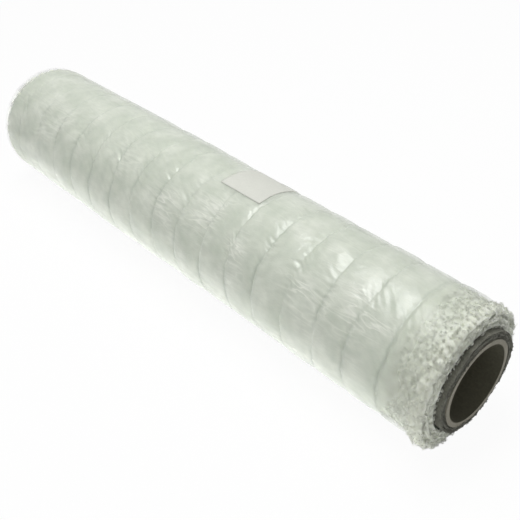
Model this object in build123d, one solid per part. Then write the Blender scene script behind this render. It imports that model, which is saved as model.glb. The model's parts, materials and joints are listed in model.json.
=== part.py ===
from build123d import *
import math
import os

# A roll of white fleece insulation lying on its side, in millimetres.
# The roll's axis runs along X and the floor is at Z = 0, under the middle of the roll.
# The near end, with the open core, is at +X.

# Core tube
core_length = 450.0
core_bore = 51.0
core_wall = 3.2

# Liner sheet wound on the core under the fleece
liner_ply = 1.8
liner_plies = 3
liner_set_back = 1.5
liner_ply_bulge = 0.5

# Fleece mat
turn_thickness = 3.55
turn_count = 3
turn_bulge = 2.0
turn_crest = 1.2
fleece_set_back = 5.0
shoulder_length = 4.0

# Stretch film, which leaves some fleece bare before each shoulder
film_wall = 0.5
film_bulge = 0.6
film_bare_near = 5.0
film_bare_far = 2.0
near_band = 22.5
ring_pitch = 25.8
ring_groove_width = 4.6

# Paper label on the film
label_side = 37.5
label_thickness = 0.25
label_centre_x = 37.0
label_turn_angle = 11.0

# Clearance between one wound layer and the next
layer_gap = 0.02

# Radii, from the core outwards
bore_radius = core_bore / 2
core_radius = bore_radius + core_wall
liner_inside = core_radius + layer_gap
liner_radius = liner_inside + liner_plies * liner_ply
fleece_inside = liner_radius + layer_gap
fleece_radius = fleece_inside + turn_count * turn_thickness
film_inside = fleece_radius + layer_gap
groove_radius = film_inside + film_wall
film_radius = groove_radius + film_bulge
label_inside = film_radius + layer_gap

# Places along the axis
core_end = core_length / 2
liner_end = core_end - liner_set_back
fleece_end = core_end - fleece_set_back
shoulder_start = fleece_end - shoulder_length
film_near_end = shoulder_start - film_bare_near
film_far_end = -shoulder_start + film_bare_far


def turned(edges):
    """Turns a closed outline, drawn as distance along the axis and radius, about the axis."""
    face = make_face(Plane.XZ * Wire(edges))
    return Pos(0, 0, film_radius) * revolve(face, Axis.X)


def chain(points):
    """Straight edges from each point to the next."""
    return [Line(start, end) for start, end in zip(points, points[1:])]


def turn_ridges(end, side, outer, thickness, count, bulge, crest=0.0):
    """The ridged edges of wound turns on one end face, as points from the outermost turn inwards."""
    slope = (thickness - crest) / 2
    points = [(end, outer)]
    for turn in range(count):
        top = outer - turn * thickness
        points.append((end + side * bulge, top - slope))
        if crest:
            points.append((end + side * bulge, top - slope - crest))
        points.append((end, top - thickness))
    return points


def make_core():
    """The cardboard tube, cut square at both ends."""
    wall = Pos(0, bore_radius + core_wall / 2) * Rectangle(core_length, core_wall)
    return Pos(0, 0, film_radius) * revolve(Plane.XZ * wall, Axis.X)


def make_liner():
    """The plies of liner sheet on the core, whose edges show as fine rings on both ends."""
    near = turn_ridges(liner_end, 1, liner_radius, liner_ply, liner_plies, liner_ply_bulge)
    far = turn_ridges(-liner_end, -1, liner_radius, liner_ply, liner_plies, liner_ply_bulge)
    return turned(chain([*near, *reversed(far), near[0]]))


def fleece_end_edges(side, film_end):
    """One end of the fleece, from the film's edge over the shoulder and down across the turns."""
    shoulder = (side * shoulder_start, film_radius)
    ridges = turn_ridges(
        side * fleece_end, side, fleece_radius, turn_thickness, turn_count, turn_bulge, turn_crest
    )
    # The shoulder is rounded down to the outermost turn's crest, in place of its outer slope.
    rounding = TangentArc(shoulder, ridges[1], tangent=(side, 0))
    free_part = chain([(film_end, fleece_radius), (film_end, film_radius), shoulder])
    return [*free_part, rounding, *chain(ridges[1:])]


def make_fleece():
    """The wound mat: pressed in under the film and springing out to its level at the bare ends."""
    near = fleece_end_edges(1, film_near_end)
    far = fleece_end_edges(-1, film_far_end)
    outside = Line((film_far_end, fleece_radius), (film_near_end, fleece_radius))
    inside = Line((-fleece_end, fleece_inside), (fleece_end, fleece_inside))
    return turned([outside, *near, inside, *far])


def make_film():
    """The stretch film, drawn in at each winding ring and standing full between the rings."""
    first_ring = film_near_end - near_band
    ring_count = 1 + int((first_ring - film_far_end - ring_pitch / 2) // ring_pitch)
    outline = [(film_near_end, film_inside), (film_near_end, film_radius)]
    for ring in range(ring_count):
        middle = first_ring - ring * ring_pitch
        outline.append((middle + ring_groove_width / 2, film_radius))
        outline.append((middle, groove_radius))
        outline.append((middle - ring_groove_width / 2, film_radius))
    outline += [(film_far_end, film_radius), (film_far_end, film_inside), outline[0]]
    return turned(chain(outline))


def make_label():
    """The square paper label, curved round the film on the upper side of the roll."""
    spread = math.degrees(label_side / label_inside)
    section = Pos(label_centre_x, label_inside + label_thickness / 2) * Rectangle(
        label_side, label_thickness
    )
    sheet = revolve(Plane.XZ * section, Axis.X, revolution_arc=spread)
    return Pos(0, 0, film_radius) * Rot(-label_turn_angle - spread / 2, 0, 0) * sheet


os.makedirs("parts", exist_ok=True)
pieces = {
    "core_tube": make_core(),
    "liner_turns": make_liner(),
    "fleece_roll": make_fleece(),
    "film_wrap": make_film(),
    "label": make_label(),
}
for name, piece in pieces.items():
    piece.label = name
    export_step(piece, f"parts/{name}.step")
    print(name, round(piece.volume), piece.bounding_box())
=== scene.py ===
import bpy
import bmesh
import json
import math
import random
from mathutils import Matrix, Vector, noise

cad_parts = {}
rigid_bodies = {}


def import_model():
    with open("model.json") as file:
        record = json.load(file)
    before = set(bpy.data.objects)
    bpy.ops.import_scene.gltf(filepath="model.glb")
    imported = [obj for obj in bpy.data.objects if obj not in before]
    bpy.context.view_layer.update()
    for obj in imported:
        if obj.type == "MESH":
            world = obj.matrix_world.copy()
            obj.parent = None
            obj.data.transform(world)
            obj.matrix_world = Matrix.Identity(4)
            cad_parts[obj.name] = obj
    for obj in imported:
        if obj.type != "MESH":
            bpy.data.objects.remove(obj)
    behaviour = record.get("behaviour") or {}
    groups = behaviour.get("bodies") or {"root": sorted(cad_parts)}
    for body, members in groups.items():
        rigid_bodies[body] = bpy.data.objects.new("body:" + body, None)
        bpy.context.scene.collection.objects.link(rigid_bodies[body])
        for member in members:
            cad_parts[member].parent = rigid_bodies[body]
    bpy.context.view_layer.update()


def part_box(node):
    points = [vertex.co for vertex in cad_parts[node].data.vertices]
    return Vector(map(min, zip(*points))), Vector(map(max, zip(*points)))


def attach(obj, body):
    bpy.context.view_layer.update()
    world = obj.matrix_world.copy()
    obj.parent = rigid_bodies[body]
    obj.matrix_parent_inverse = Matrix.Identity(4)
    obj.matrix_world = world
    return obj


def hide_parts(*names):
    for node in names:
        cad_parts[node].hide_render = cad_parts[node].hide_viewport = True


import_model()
scene = bpy.context.scene
mm = 0.001

# the roll's own measures, read from the frame
lowCore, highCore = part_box("core_tube")
lowLiner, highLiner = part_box("liner_turns")
lowFleece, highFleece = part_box("fleece_roll")
lowFilm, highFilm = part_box("film_wrap")
lowLabel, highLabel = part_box("label")
filmRadius = (highFilm[2] - lowFilm[2]) / 2
axisHeight = filmRadius  # the roll rests on the floor
linerRadius = (highLiner[2] - lowLiner[2]) / 2
coreRadius = (highCore[2] - lowCore[2]) / 2
boreRadius = 25.5 * mm
print("frame loaded, film radius", round(filmRadius / mm, 2), "mm")


# shader tools

class Wire:  # one output socket, with arithmetic on it
    def __init__(self, look, socket):
        self.look = look
        self.socket = socket

    def maths(self, operation, *others):
        places = {index: value for index, value in enumerate((self, *others))}
        return self.look.node("ShaderNodeMath", {"operation": operation}, places)

    def __add__(self, other):
        return self.maths("ADD", other)

    def __sub__(self, other):
        return self.maths("SUBTRACT", other)

    def __mul__(self, other):
        return self.maths("MULTIPLY", other)

    def __truediv__(self, other):
        return self.maths("DIVIDE", other)

    def __pow__(self, other):
        return self.maths("POWER", other)

    def __rsub__(self, other):
        return self.look.node("ShaderNodeMath", {"operation": "SUBTRACT"}, {0: other, 1: self})

    def __abs__(self):
        return self.maths("ABSOLUTE")

    __radd__ = __add__
    __rmul__ = __mul__

    def clamped(self):
        return self.look.node("ShaderNodeMath", {"operation": "ADD", "use_clamp": True}, {0: self, 1: 0.0})


class Look:  # one material and its nodes
    def __init__(self, name):
        self.material = bpy.data.materials.new(name)
        self.material.use_nodes = True
        self.tree = self.material.node_tree
        self.tree.nodes.clear()

    def node(self, kind, settings=None, sockets=None, output=0):
        made = self.tree.nodes.new(kind)
        for name, value in (settings or {}).items():
            if name == "stops":
                self.setStops(made.color_ramp, value)
            else:
                setattr(made, name, value)
        for place, value in (sockets or {}).items():
            if isinstance(value, Wire):
                self.tree.links.new(value.socket, made.inputs[place])
            else:
                made.inputs[place].default_value = value
        return Wire(self, made.outputs[output]) if made.outputs else made

    def setStops(self, ramp, stops):
        while len(ramp.elements) < len(stops):
            ramp.elements.new(0.5)
        for element, (place, colour) in zip(ramp.elements, stops):
            element.position = place
            element.color = (*colour, 1.0)

    def mixColours(self, factor, first, second, blend="MIX"):
        settings = {"data_type": "RGBA", "blend_type": blend, "clamp_factor": True}
        first = first if isinstance(first, Wire) else (*first, 1.0)
        second = second if isinstance(second, Wire) else (*second, 1.0)
        return self.node("ShaderNodeMix", settings, {0: factor, 6: first, 7: second}, output=2)

    def places(self, scale=(1, 1, 1), turn=(0, 0, 0), shift=(0, 0, 0)):
        coordinates = self.node("ShaderNodeTexCoord", output=3)
        return self.node("ShaderNodeMapping", {}, {"Vector": coordinates, "Scale": scale, "Rotation": turn, "Location": shift})

    def noiseAt(self, vector, scale, detail=3.0, rough=0.55, distortion=0.0):
        sockets = {"Vector": vector, "Scale": scale, "Detail": detail, "Roughness": rough, "Distortion": distortion}
        return self.node("ShaderNodeTexNoise", {}, sockets)

    def ridges(self, vector, scale, sharp, detail=2.0, distortion=0.0):  # thin curly lines
        swing = self.noiseAt(vector, scale, detail, 0.5, distortion)
        return (1.0 - abs(swing * 2.0 - 1.0)) ** sharp

    def span(self, value, low, high):  # 0 at low, 1 at high
        sockets = {"Value": value, "From Min": low, "From Max": high}
        return self.node("ShaderNodeMapRange", {"clamp": True}, sockets)

    def bump(self, height, distance, strength=1.0):
        return self.node("ShaderNodeBump", {}, {"Height": height, "Distance": distance, "Strength": strength})

    def surface(self, **sockets):
        places = {name.replace("_", " "): value for name, value in sockets.items()}
        shader = self.node("ShaderNodeBsdfPrincipled", {}, places)
        self.node("ShaderNodeOutputMaterial", {}, {"Surface": shader})
        return self.material


def turnAngle(y, z):  # 0 at the top of the roll, growing towards +Y
    return math.atan2(y, z - axisHeight)


def finishPiece(bm, name, material, nodes=(), smooth=True):
    mesh = bpy.data.meshes.new(name)
    for face in bm.faces:
        face.smooth = smooth
    bm.to_mesh(mesh)
    bm.free()
    piece = bpy.data.objects.new(name, mesh)
    scene.collection.objects.link(piece)
    mesh.materials.append(material)
    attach(piece, "root")
    if nodes:
        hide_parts(*nodes)
    return piece


def spunOutline(points, cuts, steps):
    # a closed outline in the plane y = 0, its edges cut up, turned once about the roll's axis
    bm = bmesh.new()
    corners = [bm.verts.new((x, 0.0, axisHeight + radius)) for x, radius in points]
    edges = [bm.edges.new((corners[i], corners[(i + 1) % len(corners)])) for i in range(len(corners))]
    for edge, count in zip(edges, cuts):
        if count:
            bmesh.ops.subdivide_edges(bm, edges=[edge], cuts=count)
    bmesh.ops.spin(bm, geom=bm.verts[:] + bm.edges[:], cent=(0, 0, axisHeight), axis=(1, 0, 0),
                   angle=2 * math.pi, steps=steps, use_merge=True, use_duplicate=False)
    bmesh.ops.remove_doubles(bm, verts=bm.verts[:], dist=0.001 * mm)
    bmesh.ops.recalc_face_normals(bm, faces=bm.faces[:])
    return bm


# label: square paper sticker

label = {
    "side": highLabel[0] - lowLabel[0],
    "centre": (highLabel[0] + lowLabel[0]) / 2,
    "angle": math.radians(11.0),
    "thick": 0.13 * mm,
    "lift": 0.25 * mm,
    "cuts": 30,
}


# film: stretch film wound in overlapping bands

film = {
    "nearEdge": highFilm[0] + 3.0 * mm,  # a loose hem lies over the tufts
    "farEdge": lowFilm[0] - 4.5 * mm,
    "firstRing": highFilm[0] - 22.5 * mm,
    "pitch": 25.8 * mm,
    "ringCount": 16,
    "innerEdge": highFilm[0] - 7.5 * mm,  # the edge of the band beneath shows as one more line
    "step": 1.25 * mm,  # how far a band stands above the ring on its -X side
    "stepWidth": 0.8 * mm,
    "droop": 0.58,  # where a band starts to come down to the next ring
    "crowding": 0.62,
    "shadeWidth": 1.6 * mm,
    "ringFade": 120.0 * mm,
    "farRings": 0.3,
    "tuftLump": 0.5 * mm,
    "wobble": 2.4 * mm,
    "gather": 0.40 * mm,
    "wrinkle": 0.20 * mm,
    "hemFade": 30.0 * mm,  # the film thins out over this length
    "endRound": 6.0 * mm,  # and follows the shoulders down over this one
    "endDrop": 2.4 * mm,
    "lump": 0.12 * mm,
    "slackAngle": math.radians(-46),  # where the film was let go slack and creased
    "slackSpread": math.radians(21),
    "wall": 1.75 * mm,
    "rowsAlong": 330,
    "stepsRound": 280,
}


def ringPlace(index, angle):  # each ring wanders a little round the roll
    seat = Vector((math.cos(angle) * 1.3, math.sin(angle) * 1.3, index * 7.3))
    fine = Vector((math.cos(angle) * 6.0, math.sin(angle) * 6.0, index * 3.1))
    place = film["firstRing"] - index * film["pitch"]
    return place + film["wobble"] * noise.noise(seat) + 0.9 * mm * noise.noise(fine)


def bandPlace(x, angle):
    # which band an even row lies in, its share of the way across it, and where it lies on the wandering rings
    steps = (film["firstRing"] - x) / film["pitch"]
    index = math.ceil(steps)
    share = index - steps
    share -= film["crowding"] * math.sin(2 * math.pi * share) / (2 * math.pi)  # rows crowd at the rings
    left = ringPlace(index, angle)
    right = ringPlace(index - 1, angle)
    return index, share, left + share * (right - left)


def ringStrength(x):  # the rings fade towards the far end
    return min(max((x - film["farEdge"]) / film["ringFade"], film["farRings"]), 1.0)


def filmSurface(index, share, x, angle):
    # a band steps up steeply from the ring on its -X side and droops towards the ring on its +X side
    roundAbout = Vector((math.cos(angle), math.sin(angle), index * 3.7))
    strength = 0.85 + 0.9 * noise.noise(roundAbout * 1.4)
    climb = 1.0 - math.exp(-share * film["pitch"] / film["stepWidth"])
    droopStart = film["droop"] + 0.25 * noise.noise(roundAbout * 1.9)
    droop = max((share - droopStart) / (1.0 - droopStart), 0.0)
    height = film["step"] * strength * ringStrength(x) * (climb - droop ** 1.8)
    nearRing = min(share, 1.0 - share) * film["pitch"]
    reach = math.exp(-(nearRing / (6.5 * mm)) ** 2)
    slant = 0.55 + 0.5 * noise.noise(Vector((x / mm / 40.0, 0.3, 0.7)))
    turned = angle + slant * x / filmRadius
    roundY = filmRadius * math.cos(turned) / mm
    roundZ = filmRadius * math.sin(turned) / mm
    gathers = noise.noise(Vector((x / mm / 11.0, roundY / 2.1, roundZ / 2.1)))
    folds = noise.noise(Vector((x / mm / 15.0 + 40.0, roundY / 4.2, roundZ / 4.2)))
    lumps = noise.noise(Vector((x / mm / 6.0, roundY / 6.0, roundZ / 6.0 + 30.0)))
    sway = noise.noise(Vector((x / mm / 40.0, roundY / 30.0, roundZ / 30.0 + 9.0)))
    slack = math.exp(-((angle - film["slackAngle"]) / film["slackSpread"]) ** 2)
    calm = min(max(0.32 + 1.3 * sway, 0.08), 1.0) + 1.3 * slack  # most stretches are pulled smooth
    hem = min(max((x - film["innerEdge"]) / (film["nearEdge"] - film["innerEdge"]), 0.0), 1.0)
    tufts = noise.noise(Vector((x / mm / 3.2, roundY / 3.2, roundZ / 3.2 + 70.0)))
    radius = filmRadius - 1.0 * mm + height
    radius += film["gather"] * gathers * (0.3 + 0.9 * reach) * calm
    radius += film["wrinkle"] * (1.0 - 2.0 * abs(folds)) * calm
    radius += film["lump"] * lumps + film["tuftLump"] * tufts * (0.15 + hem)
    shift = 1.5 * mm * noise.noise(Vector((math.cos(angle) * 2, math.sin(angle) * 2, 5)))
    beyond = min(max((x - film["innerEdge"] - shift) / film["stepWidth"] + 0.5, 0.0), 1.0)
    radius -= 0.4 * mm * beyond
    overShoulder = max(abs(x) - (highFleece[0] - 9.5 * mm), 0.0) / film["endRound"]
    radius -= film["endDrop"] * overShoulder ** 2
    pressed = underLabel(x, angle)
    return radius + (filmRadius - 0.15 * mm - radius) * pressed


def underLabel(x, angle):  # 1 beneath the label, which presses the film flat, fading to 0 around it
    along = abs(x - label["centre"]) - label["side"] / 2
    around = abs(angle - label["angle"]) * filmRadius - label["side"] / 2
    beside = max(along, around)
    fade = min(max(beside / (4.0 * mm), 0.0), 1.0)
    return 1.0 - fade * fade * (3.0 - 2.0 * fade)


def flooredHeight(z):  # the soft roll sits flat where it meets the floor
    return max(z, 0.05 * mm)


def makeFilm(material):
    outer = filmRadius
    inner = filmRadius - film["wall"]
    outline = [(film["farEdge"], outer), (film["nearEdge"], outer), (film["nearEdge"], inner), (film["farEdge"], inner)]
    bm = spunOutline(outline, (film["rowsAlong"], 1, 0, 1), film["stepsRound"])
    ringShade = bm.verts.layers.float.new("ringShade")
    hemShare = bm.verts.layers.float.new("hemShare")
    slackShare = bm.verts.layers.float.new("slackShare")
    clearShare = bm.verts.layers.float.new("clearShare")
    for vert in bm.verts:
        angle = turnAngle(vert.co.y, vert.co.z)
        radius = math.hypot(vert.co.y, vert.co.z - axisHeight)
        index, share, x = bandPlace(vert.co.x, angle)
        hem = min(max((vert.co.x - film["nearEdge"]) / (6.0 * mm) + 1.0, 0.0), 1.0)
        torn = Vector((math.cos(angle) * 2.2, math.sin(angle) * 2.2, 3.0))
        x += hem * (3.2 * mm * noise.noise(torn) + 2.0 * mm * noise.noise(torn * 4.0) + 1.0 * mm * noise.noise(torn * 9.0))
        outside = radius > outer - 0.05 * mm
        if outside:
            radius = filmSurface(index, share, x, angle)
        fromRing = min(share, 1.0 - share) * film["pitch"]
        side = min(max((abs(angle + 0.1) - 0.35) / 0.7, 0.0), 1.0)  # 0 along the top, 1 down the sides
        fading = ringStrength(x)
        # painted shade: the ring lines are darkened in the base colour, more down the sides than along the top
        vert[ringShade] = math.exp(-(fromRing / film["shadeWidth"]) ** 2) * (0.3 + 0.7 * side) * fading
        vert[hemShare] = min(max((vert.co.x - film["nearEdge"]) / film["hemFade"] + 1.0, 0.0), 1.0)
        slackPart = math.exp(-((angle - film["slackAngle"]) / film["slackSpread"]) ** 2)
        vert[slackShare] = slackPart * min(max(x / (0.35 * filmRadius) + 1.6, 0.25), 1.0)
        vert[clearShare] = 0.0 if outside else 1.0
        vert.co = (x, radius * math.sin(angle), flooredHeight(axisHeight + radius * math.cos(angle)))
    return finishPiece(bm, "film_wrap_skin", material, ("film_wrap",))


def filmLook():
    look = Look("filmLook")
    spots = look.places()
    slanted = look.places(scale=(0.22, 1.0, 1.0), turn=(0.0, 0.12, 0.16))
    haze = look.noiseAt(spots, 55.0, 2.0)
    stretch = look.span(look.noiseAt(spots, 28.0, 1.0), 0.42, 0.62)  # where the film is creased
    slack = look.node("ShaderNodeAttribute", {"attribute_name": "slackShare"}, output=2)
    creases = look.ridges(slanted, 210.0, 6.0, 1.5, 0.9) * stretch * (0.2 + slack)
    fine = look.ridges(look.places(scale=(0.4, 1.0, 1.0), turn=(0.2, 0.3, 0.5)), 620.0, 5.0, 1.0, 0.6)
    height = creases * 0.7 + fine * 0.25 + look.noiseAt(spots, 380.0, 2.0) * 0.5
    tint = look.mixColours(look.span(haze, 0.3, 0.7), (0.705, 0.765, 0.665), (0.815, 0.86, 0.76))
    clear = look.node("ShaderNodeAttribute", {"attribute_name": "clearShare"}, output=2)
    milky = 0.58 + look.span(haze, 0.3, 0.7) * 0.16 + creases * 0.20 + fine * 0.03
    hem = look.node("ShaderNodeAttribute", {"attribute_name": "hemShare"}, output=2)
    # painted shade: each ring groove is darkened in the base colour by the ringShade attribute
    shade = look.node("ShaderNodeAttribute", {"attribute_name": "ringShade"}, output=2)
    shade = shade * look.span(look.noiseAt(spots, 24.0, 1.0), 0.35, 0.6)
    creased = look.mixColours(creases * 0.7, tint, (0.96, 0.97, 0.89))
    return look.surface(
        Base_Color=look.mixColours(shade * 0.62, creased, (0.38, 0.44, 0.37)),
        Roughness=0.17 + look.span(haze, 0.2, 0.8) * 0.12,
        IOR=1.6,
        Alpha=(milky * (1.0 - hem * 0.92) * (1.0 - clear)).clamped(),
        Normal=look.bump(height, 0.00030, 0.5),
    )


# fleece: the wound mat

fleece = {
    "radius": filmRadius - 1.9 * mm,
    "inner": linerRadius + 0.05 * mm,
    "turn": 3.55 * mm,
    "turns": 3,
    "shoulder": highFleece[0] - 6.0 * mm,
    "endFace": highFleece[0] - 2.5 * mm,
    "turnStep": 0.6 * mm,  # each turn stands a little proud of the one outside it
    "tuft": 4.0 * mm,
    "tuftHeight": 1.7 * mm,
    "drawn": 2.6 * mm,  # how far the near end is drawn back, low down on its far side
    "drawnAngle": math.radians(138),
    "slump": 3.5 * mm,  # how far the near end bulges forward and down, in front
    "slumpAngle": math.radians(-130),
    "slumpLength": 14.0 * mm,
    "stepsRound": 220,
    "rowsAlong": 170,
}


def fleeceOutline():
    # the fleece lies low under the loose hem, to leave its tufts room, and rounds down to the end
    half = []
    half.append((fleece["shoulder"] - 27.0 * mm, fleece["radius"]))
    half.append((fleece["shoulder"] - 21.0 * mm, filmRadius - 3.0 * mm))
    half.append((fleece["shoulder"] - 7.0 * mm, filmRadius - 2.8 * mm))
    half.append((fleece["shoulder"] - 2.5 * mm, filmRadius - 1.4 * mm))
    half.append((fleece["shoulder"] + 1.2 * mm, filmRadius - 2.0 * mm))
    for turn in range(fleece["turns"]):
        top = fleece["radius"] - turn * fleece["turn"]
        face = fleece["endFace"] + turn * fleece["turnStep"]
        half.append((face, top - 1.6 * mm))
        half.append((face - 0.2 * mm, top - fleece["turn"] + 0.9 * mm))
        half.append((face - 1.8 * mm, top - fleece["turn"] + 0.1 * mm))
    half[-1] = (fleece["endFace"] + fleece["turns"] * fleece["turnStep"] - 2.0 * mm, fleece["inner"])
    return half


def outsideCuts(points, spacing):
    # how many cuts each edge of a closed outline needs to reach an even spacing
    cuts = []
    for first, second in zip(points, points[1:] + points[:1]):
        length = math.hypot(second[0] - first[0], second[1] - first[1])
        cuts.append(max(0, round(length / spacing) - 1))
    return cuts


def makeFleece(material):
    near = fleeceOutline()
    far = [(-x, radius) for x, radius in reversed(near)]
    outline = far + near
    cuts = outsideCuts(outline, 1.0 * mm)
    cuts[len(far) - 1] = fleece["rowsAlong"]
    cuts[-1] = 3
    bm = spunOutline(outline, cuts, fleece["stepsRound"])
    bm.normal_update()
    moves = []
    for vert in bm.verts:
        x, y, z = vert.co
        radius = math.hypot(y, z - axisHeight)
        if radius < fleece["inner"] + 0.3 * mm:
            moves.append(Vector())
            continue
        spot = vert.co / fleece["tuft"]
        near1, near2 = noise.voronoi(spot, distance_metric="DISTANCE", exponent=2.5)[0][:2]
        puff = 1.0 - min(near1 / 0.75, 1.0) ** 2
        bare = min(max((abs(x) - (fleece["shoulder"] - 28.0 * mm)) / (8.0 * mm), 0.0), 1.0)
        wild = noise.noise(vert.co / (1.6 * mm)) * 0.35 * mm
        lift = bare * (fleece["tuftHeight"] * (puff - 0.45) + wild)
        lift += (1.0 - bare) * (0.5 * mm * (puff - 0.5) + 0.15 * mm * noise.noise(vert.co / (3.0 * mm)))
        push = vert.normal * lift
        if x > fleece["shoulder"] - 4.0 * mm:
            low = max(math.cos(turnAngle(y, z) - fleece["drawnAngle"]), 0.0)
            push.x -= fleece["drawn"] * low ** 2 * min((x - fleece["shoulder"]) / (4.0 * mm) + 1.0, 1.0)
        if x > fleece["shoulder"] - fleece["slumpLength"]:
            front = max(math.cos(turnAngle(y, z) - fleece["slumpAngle"]), 0.0) ** 4
            front *= min((x - fleece["shoulder"]) / fleece["slumpLength"] + 1.0, 1.0)
            front *= min(max((radius - fleece["inner"]) / (filmRadius - fleece["inner"]), 0.0), 1.0)
            push += Vector((0.0, y, z - axisHeight)).normalized() * fleece["slump"] * front
        moves.append(push)
    for vert, move in zip(bm.verts, moves):
        vert.co += move
        vert.co.z = flooredHeight(vert.co.z)
    piece = finishPiece(bm, "fleece_roll_mat", material, ("fleece_roll",))
    return piece


def fleeceLook(name, light, dark, fibreScale):
    look = Look(name)
    spots = look.places()
    tone = look.noiseAt(spots, 35.0, 2.0)
    first = look.ridges(look.places(turn=(0.2, 0.1, 0.5)), fibreScale, 5.0, 1.5, 2.2)
    second = look.ridges(look.places(turn=(0.9, 0.5, 0.2)), fibreScale * 0.8, 5.0, 1.5, 2.0)
    fibres = (first * 0.6 + second * 0.5).clamped()
    clumps = look.noiseAt(spots, 150.0, 1.5, 0.5, 1.0)
    # the fleece's own uneven tone, and painted shade: darker where the fibre and clump bump sinks
    share = (fibres * 0.4 + look.span(clumps, 0.3, 0.7) * 0.5 + look.span(tone, 0.3, 0.7) * 0.2).clamped()
    return look.surface(
        Base_Color=look.mixColours(share, dark, light),
        Roughness=0.92 - fibres * 0.1,
        Subsurface_Weight=0.5,
        Subsurface_Radius=(1.0, 1.0, 0.9),
        Subsurface_Scale=0.002,
        Normal=look.bump(fibres * 0.5 + clumps, 0.0005, 0.4),
    )


def lockStrands(root, outward, lean, shape, chance):
    # one lock: a bundle of fibres that curl over together, as lists of points
    sideways = outward.cross(lean).normalized()
    along = sideways.cross(outward).normalized()
    curl = shape["curl"] * chance.uniform(0.7, 1.3)
    sweep = math.radians(chance.uniform(*shape["sweep"]))
    start = math.radians(chance.uniform(175, 215))
    strands = []
    for _ in range(shape["strands"]):
        aside = chance.gauss(0, 0.5) * shape["width"]
        own = curl * chance.uniform(0.65, 1.15) * (1.0 - 0.25 * min(abs(aside) / shape["width"], 1.0))
        phase = chance.uniform(-0.35, 0.35)
        slip = along * chance.gauss(0, 0.35) * curl
        strand = []
        for i in range(shape["points"]):
            t = i / (shape["points"] - 1)
            angle = start + phase - sweep * t
            reach = own * (1.0 - 0.35 * t)
            spot = root + slip + outward * (shape["stand"] * own / curl)
            spot += along * math.cos(angle) * reach + outward * math.sin(angle) * reach
            spot += sideways * aside * (0.7 + 0.5 * t) + sideways * 0.2 * mm * math.sin(6.0 * t + phase * 9)
            strand.append(spot)
        strands.append(strand)
    return strands


def makeStrands(name, roots, shape, seed):
    # fibres as thin three-sided tubes
    chance = random.Random(seed)
    section = bpy.data.curves.new(name + "_section", "CURVE")
    ring = section.splines.new("POLY")
    ring.points.add(2)
    for i, point in enumerate(ring.points):
        turn = 2 * math.pi * i / 3
        point.co = (shape["thick"] / 2 * math.cos(turn), shape["thick"] / 2 * math.sin(turn), 0, 1)
    ring.use_cyclic_u = True
    sectionObject = bpy.data.objects.new(name + "_section", section)
    curve = bpy.data.curves.new(name + "_curve", "CURVE")
    curve.dimensions = "3D"
    curve.bevel_mode = "OBJECT"
    curve.bevel_object = sectionObject
    curve.use_fill_caps = True
    for root, outward, lean in roots:
        for strand in lockStrands(root, outward, lean, shape, chance):
            line = curve.splines.new("POLY")
            line.points.add(len(strand) - 1)
            thick = chance.uniform(0.7, 1.2)
            for i, (point, spot) in enumerate(zip(line.points, strand)):
                t = i / (len(strand) - 1)
                point.co = (spot.x, spot.y, max(spot.z, 0.3 * mm), 1)
                point.radius = thick * (1.0 - 0.55 * t * t)
    holder = bpy.data.objects.new(name + "_curve", curve)
    scene.collection.objects.link(holder)
    mesh = bpy.data.meshes.new_from_object(holder.evaluated_get(bpy.context.evaluated_depsgraph_get()))
    bm = bmesh.new()
    bm.from_mesh(mesh)
    bpy.data.objects.remove(holder)
    bpy.data.objects.remove(sectionObject)
    bpy.data.curves.remove(curve)
    bpy.data.curves.remove(section)
    bpy.data.meshes.remove(mesh)
    bmesh.ops.recalc_face_normals(bm, faces=bm.faces[:])
    return bm


pile = {
    "locks": 1085,
    "faceShare": 3.0,  # how much thicker the locks stand on the end face
    "spacing": 2.1 * mm,
    "strands": 7,
    "thick": 0.3 * mm,
    "curl": 1.25 * mm,
    "width": 1.4 * mm,
    "stand": 0.35 * mm,
    "sweep": (110, 235),
    "points": 5,
    "outermost": {1: filmRadius + 6.0 * mm, -1: filmRadius - 4.5 * mm},
    "bareFrom": {1: 22.0 * mm, -1: -2.5 * mm},  # how far before each shoulder the first locks stand
}


def lockRoots(body, side, count, spacing, choose, seed):
    # root points on one end of a body, kept apart from each other, more of them where choose is higher
    chance = random.Random(seed)
    faces = [face for face in body.data.polygons if choose(face.center)]
    areas = [face.area * choose(face.center) for face in faces]
    cells = {}
    roots = []
    for face in chance.choices(faces, areas, k=count * 8):
        cell = tuple(round(value / spacing) for value in face.center)
        near = [spot for step in neighbourSteps for spot in cells.get(tuple(map(sum, zip(cell, step))), [])]
        if any((spot - face.center).length < spacing for spot in near):
            continue
        cells.setdefault(cell, []).append(face.center.copy())
        lean = Vector((side * 0.6, 0, 0)) + Vector([chance.uniform(-1, 1) for _ in range(3)])
        outward = (face.normal + Vector([chance.uniform(-0.35, 0.35) for _ in range(3)])).normalized()
        roots.append((face.center.copy(), outward, lean))
        if len(roots) == count:
            break
    return roots


neighbourSteps = [(i, j, k) for i in (-1, 0, 1) for j in (-1, 0, 1) for k in (-1, 0, 1)]


def makePile(body, side, name, material, seed):
    def onBareFleece(spot):
        radius = math.hypot(spot.y, spot.z - axisHeight)
        beyondFilm = side * spot.x > fleece["shoulder"] - pile["bareFrom"][side]
        if not beyondFilm or not linerRadius + 0.3 * mm < radius < pile["outermost"][side]:
            return 0.0
        return pile["faceShare"] if side * spot.x > fleece["shoulder"] + 1.0 * mm else 1.0

    roots = lockRoots(body, side, pile["locks"], pile["spacing"], onBareFleece, seed)
    print(name, "has", len(roots), "locks")
    bm = makeStrands(name, roots, pile, seed + 1)
    return finishPiece(bm, name, material, ())


# liner: dark sheet wound on the core

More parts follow.
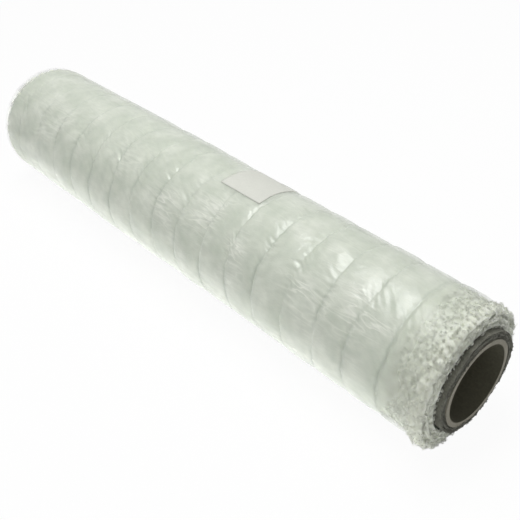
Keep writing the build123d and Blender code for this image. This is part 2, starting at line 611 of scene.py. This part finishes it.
liner = {
    "plies": 3,
    "ply": (linerRadius - coreRadius) / 3,
    "end": highLiner[0] - 0.3 * mm,
    "stepsPerTurn": 160,
    "rows": 12,
    "ragged": 1.1 * mm,
    "flat": (0.4455, 0.593),  # width along the roll, and length unwound
    "strands": {"strands": 5, "thick": 0.22 * mm, "curl": 0.7 * mm, "width": 0.9 * mm,
                "stand": 0.1 * mm, "sweep": (60, 170), "points": 5},
    "locks": 260,
}


def makeLiner(material):
    bm = bmesh.new()
    low = bm.verts.new((-liner["end"], 0, axisHeight + coreRadius))
    high = bm.verts.new((liner["end"], 0, axisHeight + coreRadius))
    line = bm.edges.new((low, high))
    bmesh.ops.subdivide_edges(bm, edges=[line], cuts=liner["rows"])
    steps = liner["stepsPerTurn"] * liner["plies"]
    made = bmesh.ops.spin(bm, geom=bm.verts[:] + bm.edges[:], cent=(0, 0, axisHeight), axis=(1, 0, 0),
                          angle=2 * math.pi * liner["plies"], steps=steps, use_merge=False, use_duplicate=False)
    perRow = liner["rows"] + 2
    bm.verts.ensure_lookup_table()
    for index, vert in enumerate(bm.verts):
        turn = 2 * math.pi * liner["plies"] * (index // perRow) / steps
        radius = coreRadius + liner["ply"] * (turn / (2 * math.pi)) * 0.97 + 0.15 * mm
        if abs(vert.co.x) > liner["end"] * 0.999:
            uneven = noise.noise(Vector((turn * 1.3, 0, 0))) + 0.5 * noise.noise(Vector((turn * 9.0, 4.0, 0)))
            vert.co.x += math.copysign(liner["ragged"] * (uneven - 0.6), vert.co.x)
            radius += 0.35 * mm * noise.noise(Vector((turn * 3.0, 8.0, 0)))
        radius = min(radius, linerRadius - 0.1 * mm)
        angle = turn + 2.2
        vert.co.y = radius * math.sin(angle)
        vert.co.z = axisHeight + radius * math.cos(angle)
    bmesh.ops.recalc_face_normals(bm, faces=bm.faces[:])
    bmesh.ops.solidify(bm, geom=bm.faces[:], thickness=liner["ply"] * 0.8)
    bmesh.ops.recalc_face_normals(bm, faces=bm.faces[:])
    piece = finishPiece(bm, "liner_turns_sheet", material, ("liner_turns",), smooth=False)
    return piece


def makeLinerFray(sheet, side, name, material, seed):
    # short fibres that stand off the cut edge and the outside of the sheet
    def onEnd(spot):
        return side * spot.x > liner["end"] - 3.5 * mm

    roots = lockRoots(sheet, side, liner["locks"], 0.9 * mm, onEnd, seed)
    bm = makeStrands(name, roots, liner["strands"], seed + 1)
    return finishPiece(bm, name, material, ())


def linerLook():
    look = Look("linerLook")
    spots = look.places()
    speck = look.noiseAt(spots, 900.0, 3.0)
    patches = look.noiseAt(spots, 90.0, 2.0)
    share = (look.span(speck, 0.3, 0.7) * 0.6 + look.span(patches, 0.3, 0.7) * 0.4).clamped()
    return look.surface(
        Base_Color=look.mixColours(share, (0.077, 0.078, 0.061), (0.215, 0.215, 0.178)),
        Roughness=0.9,
        Normal=look.bump(speck, 0.0004, 0.7),
    )


def coreLook():
    look = Look("coreLook")
    spots = look.places()
    centred = look.places(shift=(0.0, 0.0, -axisHeight))
    sideways = look.node("ShaderNodeSeparateXYZ", {}, {0: centred}, output=1)
    upwards = look.node("ShaderNodeSeparateXYZ", {}, {0: centred}, output=2)
    radius = (sideways * sideways + upwards * upwards) ** 0.5
    onRim = look.span(radius, boreRadius + 0.1 * mm, boreRadius + 0.5 * mm)  # 0 in the bore, 1 on its rim; the bore gets painted shade
    plies = look.ridges(look.places(scale=(0.02, 1, 1)), 900.0, 2.0, 1.0)
    pulp = look.noiseAt(spots, 700.0, 4.0)
    stains = look.noiseAt(look.places(scale=(0.4, 1, 1)), 60.0, 3.0)
    share = (look.span(pulp, 0.3, 0.7) * 0.5 + look.span(stains, 0.3, 0.7) * 0.5).clamped()
    # painted shade: the bore is a darker copy of the rim's cardboard colour
    paintedBoreShade = look.mixColours(share, (0.080, 0.077, 0.050), (0.137, 0.131, 0.089))
    rim = look.mixColours((share * 0.7 + plies * 0.3).clamped(), (0.20, 0.188, 0.146), (0.34, 0.322, 0.262))
    return look.surface(
        Base_Color=look.mixColours(onRim, paintedBoreShade, rim),
        Roughness=0.85,
        Normal=look.bump(pulp + plies * 0.5, 0.0003, 0.6),
    )


def makeLabel(material):
    bm = bmesh.new()
    bmesh.ops.create_grid(bm, x_segments=label["cuts"], y_segments=label["cuts"], size=label["side"] / 2)
    for vert in bm.verts:
        along, around = vert.co.x, vert.co.y
        edge = max(abs(along), abs(around)) / (label["side"] / 2)
        corner = abs(along * around) / (label["side"] / 2) ** 2
        lift = label["lift"] * max(corner - 0.6, 0.0) + 0.12 * mm * noise.noise(vert.co / (9 * mm))
        lift += 0.25 * mm * max(edge - 0.85, 0.0)
        angle = label["angle"] + around / filmRadius
        radius = filmRadius + 0.08 * mm + lift
        vert.co = (label["centre"] + along, radius * math.sin(angle), axisHeight + radius * math.cos(angle))
    bmesh.ops.recalc_face_normals(bm, faces=bm.faces[:])
    if bm.faces[:][0].normal.z < 0:
        bmesh.ops.reverse_faces(bm, faces=bm.faces[:])
    bmesh.ops.solidify(bm, geom=bm.faces[:], thickness=label["thick"])
    bmesh.ops.recalc_face_normals(bm, faces=bm.faces[:])
    return finishPiece(bm, "label_paper", material, ("label",), smooth=True)


def labelLook():
    look = Look("labelLook")
    spots = look.places()
    pulp = look.noiseAt(spots, 800.0, 4.0)
    cloud = look.noiseAt(spots, 70.0, 2.0)
    share = (look.span(pulp, 0.3, 0.7) * 0.5 + look.span(cloud, 0.3, 0.7) * 0.5).clamped()
    return look.surface(
        Base_Color=look.mixColours(share, (0.66, 0.67, 0.61), (0.73, 0.74, 0.675)),
        Roughness=0.6,
        Normal=look.bump(pulp, 0.0001, 0.4),
    )


# stage, lamps and camera

stage = {
    "floorSize": 6.0,
    "floorColour": (0.94, 0.94, 0.94, 1),
    "floorGlow": 0.95,  # how much of the floor's white, as the camera sees it, the shadow leaves alone
    "skyHigh": 0.37,
    "skyLow": 0.03,
    "keyAcross": 0.9,
    "keyAlong": 0.4,
    "keyPower": 9.5,
    "keyAim": Vector((0.14, 0.0, 0.09)),
    "keyWay": Vector((-0.22, -0.06, 0.97)),
    "keyDistance": 1.1,
    "glowSpot": Vector((0.0, -0.09, 0.004)),  # a panel on the floor in front of the roll, facing up
    "glowLong": 1.1,
    "glowWide": 0.07,
    "glowPower": 0.13,
    "edgeSpot": Vector((0.0, -0.0525, 0.003)),  # a narrow strip under the front edge of the roll
    "edgeLong": 0.46,
    "edgeWide": 0.045,
    "edgePower": 0.042,
    "endSpot": Vector((1.15, -0.30, 0.42)),  # a soft panel that faces the near end
    "endAim": Vector((0.22, 0.0, 0.05)),
    "endAcross": 0.5,
    "endPower": 1.2,
}


def makeStage():
    bpy.ops.mesh.primitive_plane_add(size=stage["floorSize"], location=(0, 0, 0))
    floor = bpy.context.active_object
    floor.name = "floor"
    look = Look("floorLook")
    seen = look.node("ShaderNodeLightPath", output=0)
    mirrored = look.node("ShaderNodeLightPath", output=3)
    through = look.node("ShaderNodeLightPath", output=6)
    paint = look.node("ShaderNodeBsdfDiffuse", {}, {"Color": stage["floorColour"]})
    glow = look.node("ShaderNodeEmission", {}, {"Color": (1, 1, 1, 1), "Strength": 1.0})
    share = (seen + mirrored + through).clamped() * stage["floorGlow"]
    mixed = look.node("ShaderNodeMixShader", {}, {0: share, 1: paint, 2: glow})
    look.node("ShaderNodeOutputMaterial", {}, {"Surface": mixed})
    floor.data.materials.append(look.material)

    world = bpy.data.worlds.new("paleRoom")
    scene.world = world
    world.use_nodes = True
    sky = Look.__new__(Look)
    sky.tree = world.node_tree
    sky.tree.nodes.clear()
    seen = sky.node("ShaderNodeLightPath", output=0)
    mirrored = sky.node("ShaderNodeLightPath", output=3)
    through = sky.node("ShaderNodeLightPath", output=6)
    share = (seen + mirrored + through).clamped()
    way = sky.node("ShaderNodeTexCoord", output=0)
    upwards = sky.node("ShaderNodeSeparateXYZ", {}, {0: way}, output=2).clamped()
    glow = upwards * (stage["skyHigh"] - stage["skyLow"]) + stage["skyLow"]
    strength = share + (1.0 - share) * glow
    back = sky.node("ShaderNodeBackground", {}, {"Color": (1, 1, 1, 1), "Strength": strength})
    sky.node("ShaderNodeOutputWorld", {}, {"Surface": back})

    way = stage["keyWay"].normalized()
    addLamp("key", stage["keyAim"] + way * stage["keyDistance"], way, stage["keyAcross"], stage["keyAlong"], stage["keyPower"])
    addLamp("glow", stage["glowSpot"], Vector((0, 0, -1)), stage["glowLong"], stage["glowWide"], stage["glowPower"])
    addLamp("edge", stage["edgeSpot"], Vector((0, 0, -1)), stage["edgeLong"], stage["edgeWide"], stage["edgePower"])
    back = stage["endSpot"] - stage["endAim"]
    addLamp("end", stage["endSpot"], back, stage["endAcross"], stage["endAcross"], stage["endPower"])


def addLamp(name, spot, back, across, along, power):
    lamp = bpy.data.lights.new(name, "AREA")
    lamp.shape = "RECTANGLE"
    lamp.size = across
    lamp.size_y = along
    lamp.energy = power
    made = bpy.data.objects.new(name, lamp)
    made.location = spot
    made.rotation_euler = (-back).to_track_quat("-Z", "Y").to_euler()
    made.visible_camera = False
    scene.collection.objects.link(made)


camera = {
    "spot": Vector((0.3801, -0.3144, 0.3801)),
    "azimuth": math.radians(46.74),
    "elevation": math.radians(36.93),
    "focalPixels": 822.0,
    "frame": 520,
}


def makeCamera():
    data = bpy.data.cameras.new("camera")
    data.sensor_width = 36.0
    data.lens = 36.0 * camera["focalPixels"] / camera["frame"]
    made = bpy.data.objects.new("camera", data)
    made.location = camera["spot"]
    made.rotation_euler = (math.pi / 2 - camera["elevation"], 0.0, camera["azimuth"])
    scene.collection.objects.link(made)
    scene.camera = made


scene.view_settings.view_transform = "Standard"
makeCamera()
makeStage()
print("camera and stage placed")

fleeceUnderFilm = fleeceLook("fleeceLook", (0.86, 0.885, 0.785), (0.73, 0.765, 0.66), 260.0)
body = makeFleece(fleeceUnderFilm)
print("fleece made", len(body.data.polygons))
pileLook = fleeceLook("pileLook", (0.875, 0.89, 0.795), (0.785, 0.81, 0.71), 500.0)
nearPile = makePile(body, 1, "fleece_pile_near", pileLook, 31)
farPile = makePile(body, -1, "fleece_pile_far", pileLook, 47)
print("fleece pile made", len(nearPile.data.polygons), len(farPile.data.polygons))
skin = makeFilm(filmLook())
print("film made", len(skin.data.polygons))
linerFinish = linerLook()
sheet = makeLiner(linerFinish)
makeLinerFray(sheet, 1, "liner_fray_near", linerFinish, 61)
makeLinerFray(sheet, -1, "liner_fray_far", linerFinish, 67)
makeLabel(labelLook())
for node in [o for o in bpy.data.objects if o.name == "core_tube"]:
    node.data.materials.clear()
    node.data.materials.append(coreLook())
print("liner, label and core finished")
